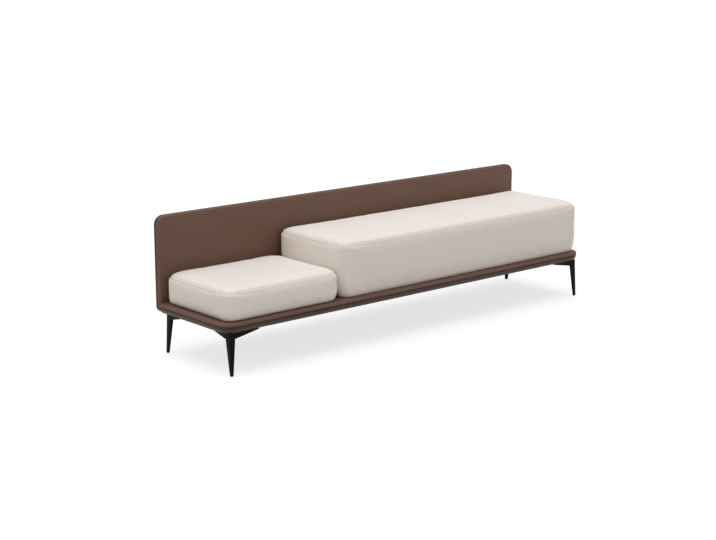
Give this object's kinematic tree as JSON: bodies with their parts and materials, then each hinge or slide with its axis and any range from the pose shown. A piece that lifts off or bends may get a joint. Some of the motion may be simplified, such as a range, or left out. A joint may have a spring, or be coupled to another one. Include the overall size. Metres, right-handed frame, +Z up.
{
  "type": "bed bench",
  "caption": "Low leather bed bench on slim black corner legs, with a back panel and loose boxed cushions, low at the left end and tall along the rest, that lift off.",
  "frame": {"origin": "on the floor, under the middle of the bench's box", "axes": "+X along the bench from the low cushion to the tall one, +Y from the front to the back panel, +Z up"},
  "size_m": [1.8, 0.425, 0.5],
  "materials": {
    "brown_leather": "satin grained",
    "cream_leather": "satin grained",
    "black_legs": "satin black powder coat",
    "glide_nylon": "matte",
    "frame_steel": "matte black",
    "cast_aluminium": "as cast",
    "fastener_steel": "zinc plated",
    "plywood": "raw",
    "foam": "open cell foam",
    "wadding": "fibre fleece",
    "dust_cloth": "nonwoven",
    "zip_cloth": "woven tape",
    "zip_metal": "nickel plated"
  },
  "bodies": {
    "root": {"back_board": "plywood", "back_bolts": "fastener_steel", "back_edge_pad": "foam", "back_felt": "wadding", "back_front_cover": "brown_leather", "back_pad": "foam", "back_rear_cover": "brown_leather", "back_spacers": "fastener_steel", "back_upright_1": "frame_steel", "back_upright_2": "frame_steel", "back_upright_3": "frame_steel", "back_upright_4": "frame_steel", "back_welt": "brown_leather", "base_cross_rail_1": "frame_steel", "base_cross_rail_2": "frame_steel", "base_cross_rail_3": "frame_steel", "base_deck": "plywood", "base_dust_cover": "dust_cloth", "base_edge_band": "brown_leather", "base_edge_pad": "foam", "base_pad": "foam", "base_rail_front": "frame_steel", "base_rail_left": "frame_steel", "base_rail_rear": "frame_steel", "base_rail_right": "frame_steel", "base_top_cover": "brown_leather", "base_welt": "brown_leather", "board_screws": "fastener_steel", "corner_block_front_left": "cast_aluminium", "corner_block_front_right": "cast_aluminium", "corner_block_rear_left": "cast_aluminium", "corner_block_rear_right": "cast_aluminium", "deck_screws": "fastener_steel", "glide_front_left": "glide_nylon", "glide_front_right": "glide_nylon", "glide_rear_left": "glide_nylon", "glide_rear_right": "glide_nylon", "leg_front_left": "black_legs", "leg_front_right": "black_legs", "leg_rear_left": "black_legs", "leg_rear_right": "black_legs", "leg_screws": "fastener_steel"},
    "small_cushion": {"small_boxing": "cream_leather", "small_cover_bottom": "cream_leather", "small_cover_top": "cream_leather", "small_foam": "foam", "small_topper": "wadding", "small_zip_tape": "zip_cloth"},
    "long_cushion": {"long_boxing": "cream_leather", "long_cover_bottom": "cream_leather", "long_cover_top": "cream_leather", "long_foam": "foam", "long_topper": "wadding", "long_zip_tape": "zip_cloth"},
    "small_zip": {"small_zip_slider": "zip_metal"},
    "long_zip": {"long_zip_slider": "zip_metal"}
  },
  "joints": [
    {"name": "small_cushion_lift", "type": "slide", "parent": "root", "child": "small_cushion", "axis": [0, 0, 1], "range_m": [0, 0.33]},
    {"name": "long_cushion_lift", "type": "slide", "parent": "root", "child": "long_cushion", "axis": [0, 0, 1], "range_m": [0, 0.33]},
    {"name": "small_zip_run", "type": "slide", "parent": "small_cushion", "child": "small_zip", "axis": [1, 0, 0], "range_m": [0, 0.313]},
    {"name": "long_zip_run", "type": "slide", "parent": "long_cushion", "child": "long_zip", "axis": [1, 0, 0], "range_m": [0, 0.939]}
  ]
}
